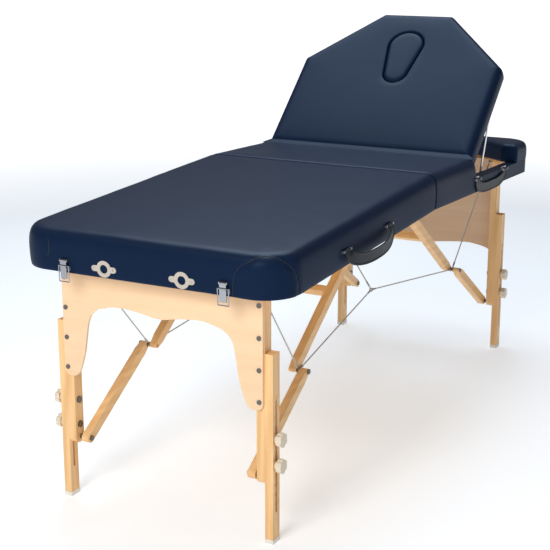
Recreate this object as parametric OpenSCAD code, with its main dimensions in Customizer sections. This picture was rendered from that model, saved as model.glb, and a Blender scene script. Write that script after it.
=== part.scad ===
// Folding massage table: two padded halves on trestle ends, with a raised backrest.
// Millimetres. The fold is at x = 0, the head end points to +X and the floor is z = 0.
// Each half is drawn in its own frame: s runs from the fold pin to the end, h is height over the pin.

/* [Table] */
// Length of each half, from the fold to its end
half_len = 946; // [920:1:1000]
// Width over the vinyl
table_w = 756; // [740:1:790]
// Height of the fold pin over the floor
fold_z = 674; // [660:1:700]
// Slope of each half, down from the fold, in degrees
camber = 2.2; // [1.8:0.1:2.6]
// Plan radius of the rounded outer corners
corner_r = 90; // [70:1:100]

/* [Frame] */
// Depth of the wooden rails
rail_h = 45; // [44:0.5:60]
// Thickness of the wooden rails
rail_t = 30; // [24:1:32]
// Padded vinyl outside the rails
cover_t = 8; // [5:0.5:10]
// How much lower the rails are round the open head frame
open_drop = 2.5; // [1:0.25:2.75]
// Thickness of the decks
deck_t = 6; // [4:0.5:9]
// Height of the pads, from deck to crown
pad_t = 55; // [40:1:65]

/* [Backrest] */
// Length of the backrest, from the crease where it hinges
back_len = 598; // [585:1:610]
// Raised angle of the backrest against its half, in degrees
recline = 45; // [30:1:50]
// Distance from the side of the table to the side of the backrest
back_in = 26; // [21:1:33]
// How far the upper edge of the backrest is cut back at each side
back_cut = 229; // [212:1:250]
// Length of the cut corners of the backrest, along the table
back_cut_len = 217; // [200:1:236]
// How far the lowered backrest reaches past the end
back_past = 3; // [-4:1:5]
// Thickness of the backrest board
board_t = 12; // [9:0.5:15]
// Distance from the crease to the prop's seat under the board
prop_seat = 262; // [240:1:270]
// Distance from the crease to the foot of the prop
prop_ahead = 154; // [140:1:168]

/* [Breath hole] */
// Radius of the wide upper end of the breath hole
breath_r = 62; // [50:1:66]
// Radius of the narrow lower end
breath_tip_r = 42; // [30:1:48]
// Distance from the upper edge to the middle of the wide end
breath_in = 148; // [130:1:158]
// Distance between the middles of both ends
breath_span = 120; // [100:1:130]

/* [Legs] */
// Distance from the end of each half to the middle of the legs
leg_in = 87; // [84:1:96]
// Width of a leg along the table
leg_w = 34; // [30:1:36]
// Thickness of a leg across the table
leg_t = 22.2; // [18:0.2:24]
// Distance from the side of the table to the outer faces of the legs
leg_side = 65; // [58:1:73]
// Height of the top of the lower legs
lower_top = 489; // [450:1:500]
// Height of the bottom of the upper legs
upper_bottom = 152.6; // [145:0.1:156]
// Height of the upper clamping knob
knob_z = 272; // [268:1:290]
// Distance between the two knobs of a leg
knob_pitch = 68; // [60:1:72]
// Distance between the height seats of a lower leg
seat_pitch = 25; // [22:1:30]
// How far a lower leg slides up
shorten = 120; // [60:5:125]
// How far a lower leg slides down
lengthen = 95; // [50:5:100]
// Radius of a knob
knob_r = 18; // [14:0.5:18]
// Height of the foot caps
cap_h = 11; // [8:0.5:16]

/* [End panels] */
// Distance from the outer face of a leg to the side of the end panel
panel_side = 24; // [23:1:33]
// Thickness of the end panels
panel_t = 7; // [5:0.5:7]
// Height of the lowest point of the end panels
panel_z = 346; // [335:1:360]

/* [Braces] */
// Depth of a brace, seen from the side
brace_d = 26; // [24:1:28]
// Thickness of a brace across the table
brace_t = 22; // [18:1:22]
// Gap between the leg, the lower brace and the upper brace
brace_gap = 10; // [8:0.5:11]
// Distance from the fold to the upper bolts of the upper braces
brace_start = 61.46; // [54:0.02:70]
// Height of the knee between both braces over the floor
knee_z = 346; // [342:1:350]
// Distance from the middle of the leg to its brace bolt, towards the fold
brace_in = 5; // [4:0.5:6]
// Height of the brace bolt on the leg
brace_z = 168; // [164:1:175]
// Distance from the knee to the crossbar, along the upper brace
crossbar_rise = 270; // [240:1:300]
// Depth of the crossbar
crossbar_d = 23; // [18:1:25]

/* [Fittings] */
// Distance between the two cradle sockets
socket_pitch = 220; // [210:1:230]
// Radius of the cradle socket's bore
socket_r = 11; // [9:0.5:12]
// Distance from the side of the table to the middle of a latch
latch_in = 153; // [138:1:168]
// Distance from the end of each half to the nearer end of a handle
handle_in = 326; // [304:1:334]
// Distance between the ends of a handle
handle_span = 267; // [240:1:300]
// Radius of the cables
cable_r = 1.6; // [1.2:0.1:2.5]

/* [Hidden] */
$fn = 48;
fit = 0.05;
clear = 0.3;
over = 1;

// Heights over the fold pin
under = 3;
rail_top = under + rail_h;
open_top = rail_top - open_drop;
deck_top = rail_top + deck_t;
pad_top = deck_top + pad_t;
wrap_t = 1;
open_cover = open_top + wrap_t;
board_rest = 0.7;
board_h = open_cover + board_rest;
board_top = board_h + board_t;

// Half widths
half_w = table_w / 2;
latch_y = half_w - latch_in;
rail_y = half_w - cover_t;
inner_y = rail_y - rail_t;
rail_s = half_len - cover_t;
inner_s = rail_s - rail_t;
fold_gap = 2.5;
handle_s = half_len - handle_in - handle_span;

// Fold hinge
fold_pin_r = 2.2;
knuckle_r = 4.5;
fold_leaf_t = 2;
fold_leaf_h = 38;
fold_leaf_in = 78;
fold_leaf_y = half_w - fold_leaf_in;
fold_knuckles = 9;
pin_head = 1;

// Pads
edge_r = 18;
tuck = 1.5;
tuck_rise = 8;
crown = 2;
crown_reach = 120;
least_r = 4;
pad_gap = 0.5;
joint_r = 6;
back_corner_r = 24;
crease_gap = 4.5;
crease_drop = 5;
crease_h = pad_top - crease_drop;
wedge_gap = 3;
wedge_len = 184;
wedge_s = half_len - wedge_len;
wedge_crown = 1;
wedge_reach = 12;
board_in = 7;

// Backrest
back_w = table_w - 2 * back_in;
back_top_w = back_w - 2 * back_cut;
back_end = half_len + back_past;
crease_s = back_end - back_len;
back_side = back_len - back_cut_len;
breath_u = back_len - breath_in;

// Crease hinge
crease_pin_r = 1.6;
crease_r = 3.4;
crease_leaf_t = 1.6;
crease_leaf_in = 48;
crease_y = half_w - crease_leaf_in;
crease_knuckles = 11;

// Prop
prop_s = crease_s + prop_ahead;
arm_t = 3;
arm_r = 6;
arm_y = inner_y - over;
prop_pin_r = 3.5;
prop_stud_r = 3;
prop_stud_in = 10;
prop_head_t = 2.2;
seat_drop = 8;
rack_t = 5.7;
rack_w = 15;
rack_in = 19;
rack_y = back_w / 2 - rack_in;
rack_notch = 1.5;
rack_notch_w = 10.4;
rack_pitch = 25;
rack_notches = 3;
rack_lead = 14;
prop_in = 28;
prop_h = under + prop_in;

// Legs
leg_x = half_len - leg_in;
stance_w = table_w - 2 * leg_side;
panel_w = stance_w - 2 * panel_side;
leg_out = stance_w / 2;
lower_in = leg_out - leg_t;
upper_out = lower_in - clear;
upper_in = upper_out - leg_t;
bolt_r = 4;
bolt_head_r = 9;
bolt_head_t = 4;
slot_gap = 0.2;
slot_w = 2 * (bolt_r + slot_gap);
seat_r = 6.5;
seat_deep = 1.4;
cap_wall = 0.8;
cap_floor = 3;
knob_l = 20;
knob_hub = 6;
knob_hub_r = 12;
knob_lobes = 6;
knob_cut_r = 8;
knob_cut_in = 2.2;
bolt_proud = 15;
pivot_in = 25;
leg_fold = 90 + camber;

// Braces
brace_x = leg_x - brace_in;
lower_out = upper_in - brace_gap;
lower_brace_in = lower_out - brace_t;
upper_brace_out = lower_brace_in - brace_gap;
upper_brace_in = upper_brace_out - brace_t;
brace_r = brace_d / 2;
knee_r = 7.5;
knee_taper = 28;
spacer_r = 7;
bracket_t = 3;
bracket_h = 24;
bracket_flange = 22;
crossbar_w = 20;

// Panel screws
screw_r = 6;
screw_t = 2.5;
screw_shank_r = 2.5;
screw_deep = 14;
screw_low = 22;
screw_pitch = 80;
screws = 4;

// Turns a point of a half's own frame to distance from the fold and height over the floor
function upright(p) = [
    p[0] * cos(camber) + p[1] * sin(camber),
    fold_z - p[0] * sin(camber) + p[1] * cos(camber)];
// The same turned back
function in_half(q) = [
    q[0] * cos(camber) - (q[1] - fold_z) * sin(camber),
    q[0] * sin(camber) + (q[1] - fold_z) * cos(camber)];
function turned(v, a) = [cos(a) * v[0] + sin(a) * v[1], cos(a) * v[1] - sin(a) * v[0]];

// Leg pivot, in the half and over the floor
pivot_h = under + pivot_in;
pivot_s = (leg_x - pivot_h * sin(camber)) / cos(camber);
pivot = [pivot_s, pivot_h];
pivot_z = upright(pivot)[1];
panel_x = leg_x + leg_w / 2;
panel_rise = 8;
panel_top = pivot_z + panel_rise;

// Folded flat, both braces lie in one line at the height of the leg's brace bolt
brace_bolt = [brace_x, brace_z];
folded_bolt = pivot + turned(in_half(brace_bolt) - pivot, leg_fold);
brace_top = [brace_start, folded_bolt[1]];
brace_top_up = upright(brace_top);

// The upper brace is longer than the lower one by longer; the knee is where that holds open too
longer = folded_bolt[0] - brace_start;
bolt_run = brace_bolt[0] - brace_top_up[0];
bolt_drop = knee_z - brace_bolt[1];
top_drop = knee_z - brace_top_up[1];
ratio = bolt_run / longer;
spread = (bolt_run * bolt_run + top_drop * top_drop - bolt_drop * bolt_drop - longer * longer) / (2 * longer);
knee_run = (spread * ratio - sqrt(spread * spread + bolt_drop * bolt_drop * (ratio * ratio - 1)))
    / (ratio * ratio - 1);
knee_x = brace_x - knee_run;
knee = [knee_x, knee_z];

// Sockets, latches and handles
socket_h = 26.3;
socket_flange_t = 4;
socket_body_r = 21;
socket_wall = 2;
socket_ear = 28;
socket_ear_r = 7.5;
socket_deep = 30;
socket_screw_r = 3.4;
socket_screw_t = 1.2;
latch_plate_t = 2;
latch_plate_w = 28;
latch_low = 9;
latch_plate_h = 37;
latch_pin_h = 36;
latch_out = 7.5;
latch_pin_r = 2;
latch_eye_r = 4;
latch_ear_t = 2;
latch_lever_w = 18;
latch_lever_t = 2.6;
latch_lever_h = 46;
bail_drop = 13;
bail_len = 41;
bail_w = 29;
bail_r = 1.5;
bail_eye_r = 3.4;
catch_t = 5;
catch_h = 12;
catch_low = 12;
catch_lip = 3;
handle_h = 45;
handle_tab_w = 32;
handle_strap_w = 25;
handle_t = 3.8;
handle_sag = 30;
handle_rod_r = 2;
handle_eye_r = 5;
handle_out = 7;
staple_t = 1.5;
staple_w = 44;
staple_h = 16;
staple_ear_t = 3;

// Cables
eye_r = 6.5;
eye_t = 4;
cable_sides = 8;
junction = [0, 184, 413];
fold_eye = [0, 18, 663];
knee_side = (lower_brace_in + upper_brace_out) / 2;
pivot_cable_in = 15.3;
pivot_side = upper_in - pivot_cable_in;

// Blocks that carry the leg pivots
block_w = 48;
block_gap = 1.5;
pivot_deep = 12;

// Outline of the corner pads, beside the cut corners of the lowered backrest
wedge_slope = back_cut / back_cut_len;
wedge_end_y = back_top_w / 2 - (half_len - back_end) * wedge_slope + 2 * wedge_gap;
wedge_start_y = wedge_end_y + (half_len - wedge_s) * wedge_slope;
wedge_corners = [[wedge_s, wedge_start_y], [half_len, wedge_end_y], [half_len, half_w],
    [wedge_s, half_w]];

// Outline of the backrest
crease_leaf_out = 0.4;
back_corners = [[crease_s + crease_gap, -back_w / 2], [crease_s + back_side, -back_w / 2],
    [back_end, -back_top_w / 2], [back_end, back_top_w / 2],
    [crease_s + back_side, back_w / 2], [crease_s + crease_gap, back_w / 2]];
back_radii = [joint_r, back_corner_r, back_corner_r, back_corner_r, back_corner_r, joint_r];

// Plug of the breath hole
plug_gap = 0.4;
plug_edge = 7;
plug_rise = 3;

// Both ends of a prop arm, with its pin under the raised board
prop_foot = [prop_s, prop_h];
prop_pin = [
    crease_s + prop_seat * cos(recline) + (crease_h - board_h + seat_drop) * sin(recline),
    crease_h + prop_seat * sin(recline) - (crease_h - board_h + seat_drop) * cos(recline)];

// Lower edge of half an end panel, as shares of its half width and of its height
foot_edge_shares = [[1, 0.05], [0.985, 0.015], [0.945, 0], [0.885, 0.004], [0.845, 0.035], [0.815, 0.1],
    [0.775, 0.22], [0.75, 0.36], [0.715, 0.49], [0.64, 0.56], [0.54, 0.59], [0.41, 0.61],
    [0.2, 0.595], [0, 0.562]];
head_edge_shares = [[1, 0.02], [0.985, 0.004], [0.93, 0], [0.865, 0.033], [0.775, 0.054],
    [0.62, 0.072], [0.38, 0.057], [0.13, 0.03], [0, 0.018]];

// Ends of the slot in a lower leg
slot_low = knob_z - knob_pitch - shorten;
slot_high = knob_z + lengthen;

FOOT = -1;
HEAD = 1;
LEFT = 1;
RIGHT = -1;

// Placing

module toward(end) {
    if (end < 0) mirror([1, 0, 0]) children();
    else children();
}

module to_side(side) {
    if (side < 0) mirror([0, 1, 0]) children();
    else children();
}

module both_sides() {
    for (side = [LEFT, RIGHT])
        to_side(side) children();
}

module half(end) {
    toward(end) translate([0, 0, fold_z]) rotate([0, camber, 0]) children();
}

// The backrest is drawn lying flat and raised about the crease
module raised() {
    half(HEAD)
        translate([crease_s, 0, crease_h])
            rotate([0, -recline, 0])
                translate([-crease_s, 0, -crease_h])
                    children();
}

// Simple solids

module rod_y(r, y0, y1) {
    translate([0, y0, 0]) rotate([-90, 0, 0]) cylinder(r = r, h = y1 - y0);
}

module rod_x(r, x0, x1) {
    translate([x0, 0, 0]) rotate([0, 90, 0]) cylinder(r = r, h = x1 - x0);
}

// Bar with round ends, from a to b in the XZ plane
module strut(a, b, r, y0, y1) {
    d = b - a;
    translate([a[0], y0, a[1]]) rotate([0, -atan2(d[1], d[0]), 0]) {
        translate([0, 0, -r]) cube([norm(d), y1 - y0, 2 * r]);
        for (x = [0, norm(d)])
            translate([x, 0, 0]) rotate([-90, 0, 0]) cylinder(r = r, h = y1 - y0);
    }
}

// Brace with round ends, from a to the knee, where it is narrower
module brace(a, y0, y1) {
    d = knee - a;
    length = norm(d);
    translate([a[0], y0, a[1]]) rotate([0, -atan2(d[1], d[0]), 0]) {
        translate([0, y1 - y0, 0]) rotate([90, 0, 0]) linear_extrude(y1 - y0) polygon([
            [0, -brace_r], [length - knee_taper, -brace_r], [length, -knee_r],
            [length, knee_r], [length - knee_taper, brace_r], [0, brace_r]]);
        rod_y(brace_r, 0, y1 - y0);
        translate([length, 0, 0]) rod_y(knee_r, 0, y1 - y0);
    }
}

// Outline of a half: straight at the fold, with round corners at its end
module half_outline(s0, s1, y, r) {
    translate([s0, -y]) square([s1 - r - s0, 2 * y]);
    translate([s0, r - y]) square([s1 - s0, 2 * (y - r)]);
    for (side = [-1, 1])
        translate([s1 - r, side * (y - r)]) circle(r = r);
}

module half_band(s0, outer_s, outer_y, inner_s0, inner_s1, inner_y1, h0, h1) {
    translate([0, 0, h0]) linear_extrude(h1 - h0) difference() {
        half_outline(s0, outer_s, outer_y, corner_r - (half_len - outer_s));
        half_outline(inner_s0, inner_s1, inner_y1, corner_r - (half_len - inner_s1));
    }
}

// Cushions

function unit(v) = v / norm(v);
function inward(a, b) = let (e = unit(b - a)) [-e[1], e[0]];
// Rounded convex outline, anticlockwise, moved in by inset
function rounded(corners, radii, inset, steps) = [
    for (i = [0 : len(corners) - 1])
        let (n = len(corners),
            n1 = inward(corners[(i + n - 1) % n], corners[i]),
            n2 = inward(corners[i], corners[(i + 1) % n]),
            r = max(radii[i] - inset, least_r),
            c = corners[i] + (inset + r) * (n1 + n2) / (1 + n1 * n2),
            start = atan2(n1[1], n1[0]),
            turn = acos(min(1, n1 * n2)))
        for (k = [0 : steps])
            c - r * [cos(start + turn * k / steps), sin(start + turn * k / steps)]];

// Insets and heights of a cushion's rings, from its drawn-in foot to its crown
function cushion_rings(base, top, rise, reach) = concat(
    [[tuck, base], [0, base + tuck_rise]],
    [for (a = [0 : 18 : 90]) [edge_r * (1 - cos(a)), top - rise - edge_r * (1 - sin(a))]],
    [for (k = [1 : 3]) [edge_r + reach * k / 3, top - rise + rise * sin(90 * k / 3)]]);

// Closes a stack of rings of points with triangles
module stacked(rings) {
    n = len(rings[0]);
    m = len(rings);
    low = rings[0];
    high = rings[m - 1];
    ones = [for (p = low) 1];
    polyhedron(
        points = concat([for (ring = rings) each ring], [ones * low / n], [ones * high / n]),
        faces = concat(
            [for (i = [0 : m - 2]) for (j = [0 : n - 1])
                [i * n + j, (i + 1) * n + j, (i + 1) * n + (j + 1) % n]],
            [for (i = [0 : m - 2]) for (j = [0 : n - 1])
                [i * n + j, (i + 1) * n + (j + 1) % n, i * n + (j + 1) % n]],
            [for (j = [0 : n - 1]) [m * n, j, (j + 1) % n]],
            [for (j = [0 : n - 1]) [m * n + 1, (m - 1) * n + (j + 1) % n, (m - 1) * n + j]]));
}

// Cushion over an outline; its fold end leans by the camber, so that it stands upright
module cushion(corners, radii, base, top, rise, reach, steps, lean_len) {
    lean = lean_len > 0 ? tan(camber) : 0;
    stacked([for (ring = cushion_rings(base, top, rise, reach))
        [for (p = rounded(corners, radii, ring[0], steps))
            [p[0] + (lean_len > 0 ? lean * ring[1] * (p[0] / lean_len - 1) : 0), p[1], ring[1]]]]);
}

function box_corners(s0, s1, y) = [[s0, -y], [s1, -y], [s1, y], [s0, y]];

// Foot half

module bolt_hole(s, h, r, y0, y1) {
    translate([s, 0, h]) rod_y(r, y0, y1);
}

// Rails of one half, with the blocks that carry the legs
module rails(cut_s) {
    difference() {
        union() {
            half_band(fold_gap, rail_s, rail_y, fold_gap - over, inner_s, inner_y, under, rail_top);
            translate([fold_gap, -inner_y - over, under])
                cube([rail_t, 2 * (inner_y + over), rail_h]);
            both_sides()
                translate([pivot_s - block_w / 2, upper_out + block_gap, under])
                    cube([block_w, inner_y + over - upper_out - block_gap, open_top - under]);
        }
        rotate([-90, 0, 0])
            translate([0, 0, -half_w])
                cylinder(r = knuckle_r + 2 * clear, h = table_w);
        both_sides()
            bolt_hole(pivot[0], pivot[1], bolt_r + fit, upper_out, inner_y + pivot_deep + over);
        if (cut_s > 0)
            translate([cut_s, -half_w, open_top]) cube([half_len, table_w, rail_h]);
    }
}
module foot_frame() {
    color("BurlyWood") half(FOOT) difference() {
        rails(0);
        both_sides()
            translate([inner_s - over, socket_pitch / 2, socket_h])
                rod_x(socket_r + socket_wall + fit, 0, rail_t + 2 * over);
    }
}

module foot_deck() {
    color("Tan") half(FOOT) translate([0, 0, rail_top]) linear_extrude(deck_t)
        half_outline(fold_gap, rail_s, rail_y, corner_r - cover_t);
}

module foot_pad() {
    color("DarkSlateBlue") half(FOOT)
        cushion(box_corners(pad_gap, half_len, half_w), [joint_r, corner_r, corner_r, joint_r],
            deck_top, pad_top, crown, crown_reach, 8, half_len);
}

module foot_cover() {
    color("MidnightBlue") half(FOOT) difference() {
        half_band(fold_gap, half_len, half_w, fold_gap - over, rail_s, rail_y, under, deck_top);
        both_sides()
            translate([rail_s - over, socket_pitch / 2, socket_h])
                rod_x(socket_r + socket_wall + fit, 0, cover_t + 2 * over);
    }
}

// Two cream sockets that hold a face cradle's rods
module cradle_sockets() {
    color("AntiqueWhite") half(FOOT) both_sides()
        translate([half_len, socket_pitch / 2, socket_h]) difference() {
            union() {
                rod_x(socket_r + socket_wall, -socket_deep, socket_flange_t);
                rod_x(socket_body_r, 0, socket_flange_t);
                for (side = [-1, 1]) {
                    translate([0, side * socket_ear, 0]) rod_x(socket_ear_r, 0, socket_flange_t);
                    translate([0, min(0, side * socket_ear), -socket_ear_r])
                        cube([socket_flange_t, socket_ear, 2 * socket_ear_r]);
                }
            }
            rod_x(socket_r, -socket_deep - over, socket_flange_t + over);
            for (side = [-1, 1])
                translate([socket_flange_t - socket_screw_t, side * socket_ear, 0])
                    rod_x(socket_screw_r, 0, over + socket_screw_t);
        }
}

// Plate and ears of one latch; its pin runs across
module latch_base() {
    translate([half_len, -latch_plate_w / 2, latch_low])
        cube([latch_plate_t, latch_plate_w, latch_plate_h]);
    for (side = [-1, 1])
        translate([half_len, side * (latch_lever_w / 2 + clear + latch_ear_t / 2), latch_pin_h]) {
            translate([latch_out, 0, 0])
                rod_y(latch_eye_r, -latch_ear_t / 2, latch_ear_t / 2);
            translate([0, -latch_ear_t / 2, -latch_eye_r])
                cube([latch_out, latch_ear_t, 2 * latch_eye_r]);
        }
    translate([half_len + latch_out, 0, latch_pin_h])
        rod_y(latch_pin_r, -latch_lever_w / 2 - latch_ear_t, latch_lever_w / 2 + latch_ear_t);
}

// Staple that holds one end of a handle, with its rod along the side
module staple() {
    translate([-staple_w / 2, half_w, -staple_h / 2])
        cube([staple_w, staple_t, staple_h]);
    for (side = [-1, 1])
        translate([side * (staple_w - staple_ear_t) / 2 - staple_ear_t / 2, half_w, -handle_rod_r - over])
            cube([staple_ear_t, handle_out + handle_rod_r + over, 2 * (handle_rod_r + over)]);
    translate([0, half_w + handle_out, 0]) rod_x(handle_rod_r, -staple_w / 2, staple_w / 2);
}

// Steel that both halves carry: leg pivots, brace brackets and handle staples
module shared_fittings() {
    both_sides() {
        translate([pivot[0], 0, pivot[1]]) {
            rod_y(bolt_r, pivot_side - eye_t, inner_y + pivot_deep);
            rod_y(bolt_head_r, upper_in - bolt_head_t - clear, upper_in - clear);
            rod_y(bolt_head_r, upper_out + clear, upper_out + block_gap);
        }
        translate([brace_top[0], 0, brace_top[1]]) {
            rod_y(bolt_r, upper_brace_in - over, upper_brace_out + over + bracket_t);
            rod_y(spacer_r, upper_brace_in - bolt_head_t, upper_brace_in - clear);
        }
        translate([fold_gap + rail_t, upper_brace_out + clear, brace_top[1] - bracket_h / 2]) {
            cube([brace_top[0] - fold_gap - rail_t + brace_r / 2, bracket_t, bracket_h]);
            cube([bracket_t, bracket_flange, bracket_h]);
        }
    }
    for (s = [handle_s, handle_s + handle_span])
        to_side(RIGHT) translate([s, 0, handle_h]) staple();
}

module fittings_foot() {
    color("Silver") half(FOOT) {
        shared_fittings();
        both_sides() translate([0, latch_y, 0]) latch_base();
    }
}

// Strap handle: a sagging band with a folded eye at each end
module handle_strap(y0) {
    sag_r = (pow(handle_span / 2, 2) + pow(handle_sag, 2)) / (2 * handle_sag);
    half_turn = asin(handle_span / 2 / sag_r);
    difference() {
        union() {
            for (x = [0, handle_span]) {
                translate([x, 0, 0]) rod_x(handle_eye_r, -handle_tab_w / 2, handle_tab_w / 2);
                translate([x - handle_tab_w / 2, y0, -handle_strap_w])
                    cube([handle_tab_w, handle_t, handle_strap_w]);
            }
            translate([handle_span / 2, y0 + handle_t, sag_r - handle_sag - handle_strap_w / 2])
                rotate([90, 0, 0]) linear_extrude(handle_t) polygon(concat(
                    [for (k = [-8 : 8]) let (a = half_turn * k / 8)
                        (sag_r + handle_strap_w / 2) * [sin(a), -cos(a)]],
                    [for (k = [8 : -1 : -8]) let (a = half_turn * k / 8)
                        (sag_r - handle_strap_w / 2) * [sin(a), -cos(a)]]));
        }
        for (x = [0, handle_span])
            translate([x, 0, 0])
                rod_x(handle_rod_r + fit, -handle_tab_w, handle_tab_w);
    }
}

// The foot half's strap lies on the outer side of its rods and the head half's on the inner side,
// so that they pass each other when the table is shut
module handle(end) {
    color("DimGray") half(end) translate([handle_s, -half_w - handle_out, handle_h])
        handle_strap(end < 0 ? -clear - handle_t : clear);
}

module foot_handle() { handle(FOOT); }

module latch_lever(side) {
    color("Gainsboro") half(FOOT) to_side(side)
        translate([half_len + latch_out, latch_y, latch_pin_h]) difference() {
            union() {
                rod_y(latch_eye_r, -latch_lever_w / 2, latch_lever_w / 2);
                translate([latch_eye_r - latch_lever_t, -latch_lever_w / 2, -latch_lever_h])
                    cube([latch_lever_t, latch_lever_w, latch_lever_h]);
                translate([latch_eye_r - bail_eye_r / 2, 0, -bail_drop])
                    rod_y(bail_eye_r, -latch_lever_w / 2, latch_lever_w / 2);
            }
            rod_y(latch_pin_r + fit, -latch_lever_w, latch_lever_w);
            translate([latch_eye_r - bail_eye_r / 2, 0, -bail_drop])
                rod_y(bail_r + fit, -latch_lever_w, latch_lever_w);
        }
}

module latch_lever_left() { latch_lever(LEFT); }
module latch_lever_right() { latch_lever(RIGHT); }

// Wire loop that hooks over the head half's catch when the table is shut
module latch_bail(side) {
    color("Silver") half(FOOT) to_side(side)
        translate([half_len + latch_out + latch_eye_r - bail_eye_r / 2, latch_y, latch_pin_h - bail_drop]) {
            rod_y(bail_r, -bail_w / 2, bail_w / 2);
            for (y = [-1, 1])
                translate([0, y * bail_w / 2, 0]) {
                    sphere(r = bail_r);
                    translate([0, 0, -bail_len]) cylinder(r = bail_r, h = bail_len);
                    translate([0, 0, -bail_len]) sphere(r = bail_r);
                }
            translate([0, 0, -bail_len]) rod_y(bail_r, -bail_w / 2, bail_w / 2);
        }
}

module latch_bail_left() { latch_bail(LEFT); }
module latch_bail_right() { latch_bail(RIGHT); }

// Fold hinge

// Leaf on the face of a fold rail; first is 0 or 1, for the knuckles that it carries
module hinge_leaf(first, count, length, pin_r, eye_r0, leaf_t, h0, h1, offset) {
    pitch = 2 * length / count;
    difference() {
        union() {
            translate([offset, -length, h0]) cube([leaf_t, 2 * length, h1 - h0]);
            for (k = [first : 2 : count - 1])
                translate([0, -length + pitch * k + clear, 0]) {
                    rod_y(eye_r0, 0, pitch - 2 * clear);
                    translate([0, 0, min(0, h0)])
                        cube([offset + leaf_t, pitch - 2 * clear, max(0, h0) - min(0, h1)]);
                }
        }
        rod_y(pin_r + fit, -length - over, length + over);
        for (k = [1 - first : 2 : count - 1])
            translate([0, -length + pitch * k - clear, 0])
                rod_y(eye_r0 + clear, 0, pitch + 2 * clear);
    }
}

module fold_leaf(end, first) {
    color("Silver") half(end)
        hinge_leaf(first, fold_knuckles, fold_leaf_y, fold_pin_r, knuckle_r, fold_leaf_t,
            knuckle_r, fold_leaf_h, fold_gap - fold_leaf_t);
}

module fold_leaf_foot() { fold_leaf(FOOT, 0); }
module fold_leaf_head() { fold_leaf(HEAD, 1); }

module fold_pin() {
    color("Gray") translate([0, 0, fold_z]) {
        rod_y(fold_pin_r, -fold_leaf_y - over, fold_leaf_y + over);
        both_sides() rod_y(knuckle_r, fold_leaf_y + over, fold_leaf_y + over + pin_head);
    }
}

// Head half

module head_frame() {
    color("BurlyWood") half(HEAD) difference() {
        rails(crease_s);
        both_sides()
            bolt_hole(prop_s, prop_h, prop_stud_r + fit, inner_y - over, inner_y + prop_stud_in + over);
    }
}

module head_decks() {
    color("Tan") half(HEAD) {
        translate([fold_gap, -rail_y, rail_top])
            cube([crease_s - crease_leaf_out - crease_leaf_t - fold_gap, 2 * rail_y, deck_t]);
        both_sides()
            translate([0, 0, open_cover]) linear_extrude(deck_top - open_cover)
                polygon(rounded(wedge_corners, [least_r, least_r, corner_r, least_r], wedge_gap, 8));
    }
}

module middle_pad() {
    color("DarkSlateBlue") half(HEAD)
        cushion(box_corners(pad_gap, crease_s - crease_gap, half_w),
            [joint_r, joint_r, joint_r, joint_r],
            deck_top, pad_top, crown, crown_reach, 4, crease_s - crease_gap);
}

// Padded corners that fill the cut corners of the lowered backrest
module corner_pads() {
    color("DarkSlateBlue") half(HEAD) both_sides()
        cushion(wedge_corners, [joint_r, joint_r, corner_r, joint_r],
            deck_top, pad_top, wedge_crown, wedge_reach, 6, 0);
}

module head_cover() {
    color("MidnightBlue") half(HEAD) difference() {
        union() {
            half_band(fold_gap, half_len, half_w, fold_gap - over, rail_s, rail_y, under, deck_top);
            half_band(crease_s, rail_s + over, rail_y + over, crease_s - over, inner_s, inner_y,
                open_top, open_cover);
        }
        translate([crease_s, -half_w, open_cover]) cube([half_len, table_w, rail_h]);
    }
}

// Hook on the head end, where a bail catches when the table is shut
module latch_catch() {
    translate([half_len, -latch_plate_w / 2, catch_low])
        cube([latch_plate_t, latch_plate_w, latch_plate_h - catch_low]);
    translate([half_len, -latch_lever_w / 2, catch_low]) {
        cube([catch_t, latch_lever_w, latch_plate_t]);
        translate([catch_t, 0, 0]) cube([latch_plate_t, latch_lever_w, catch_h]);
    }
}

module fittings_head() {
    color("Silver") half(HEAD) {
        shared_fittings();
        both_sides() {
            translate([0, latch_y, 0]) latch_catch();
            translate([prop_s, 0, prop_h]) {
                rod_y(prop_stud_r, arm_y - arm_t - over, inner_y + prop_stud_in);
                rod_y(arm_r, arm_y - arm_t - clear - prop_head_t, arm_y - arm_t - clear);
            }
        }
    }
}

module head_handle() { handle(HEAD); }

// Crease hinge and backrest

module crease_leaf_middle() {
    color("Silver") half(HEAD) translate([crease_s, 0, crease_h]) mirror([1, 0, 0]) mirror([0, 0, 1])
        hinge_leaf(0, crease_knuckles, crease_y, crease_pin_r, crease_r, crease_leaf_t,
            crease_r, crease_h - rail_top, crease_leaf_out);
}

module crease_leaf_back() {
    color("Silver") raised() translate([crease_s, 0, crease_h]) mirror([0, 0, 1]) {
        hinge_leaf(1, crease_knuckles, crease_y, crease_pin_r, crease_r, crease_leaf_t,
            crease_r, crease_h - board_h - over, crease_leaf_out);
        rod_y(crease_pin_r, -crease_y, crease_y);
    }
}

// Egg-shaped outline of the breath hole, moved in by inset
function egg(inset, steps) =
    let (turn = acos((breath_tip_r - breath_r) / breath_span))
    concat(
        [for (k = [0 : steps]) let (a = turn * (2 * k / steps - 1))
            [crease_s + breath_u, 0] + (breath_r - inset) * [cos(a), sin(a)]],
        [for (k = [0 : steps]) let (a = turn + (360 - 2 * turn) * k / steps)
            [crease_s + breath_u - breath_span, 0] + (breath_tip_r - inset) * [cos(a), sin(a)]]);

module breath_cut(h0, h1) {
    translate([0, 0, h0]) linear_extrude(h1 - h0) polygon(egg(0, 20));
}

// Strip under the board with seats for the prop's pin
module prop_rack() {
    first = crease_s + prop_seat;
    span = rack_pitch * (rack_notches - 1);
    difference() {
        translate([first - rack_lead, rack_y - rack_w, board_h - rack_t])
            cube([span + 2 * rack_lead, rack_w, rack_t]);
        for (k = [0 : rack_notches - 1])
            translate([first + rack_pitch * k - rack_notch_w / 2, rack_y - rack_w - over,
                    board_h - rack_t - over])
                cube([rack_notch_w, rack_w + 2 * over, rack_notch + over]);
    }
}

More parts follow.
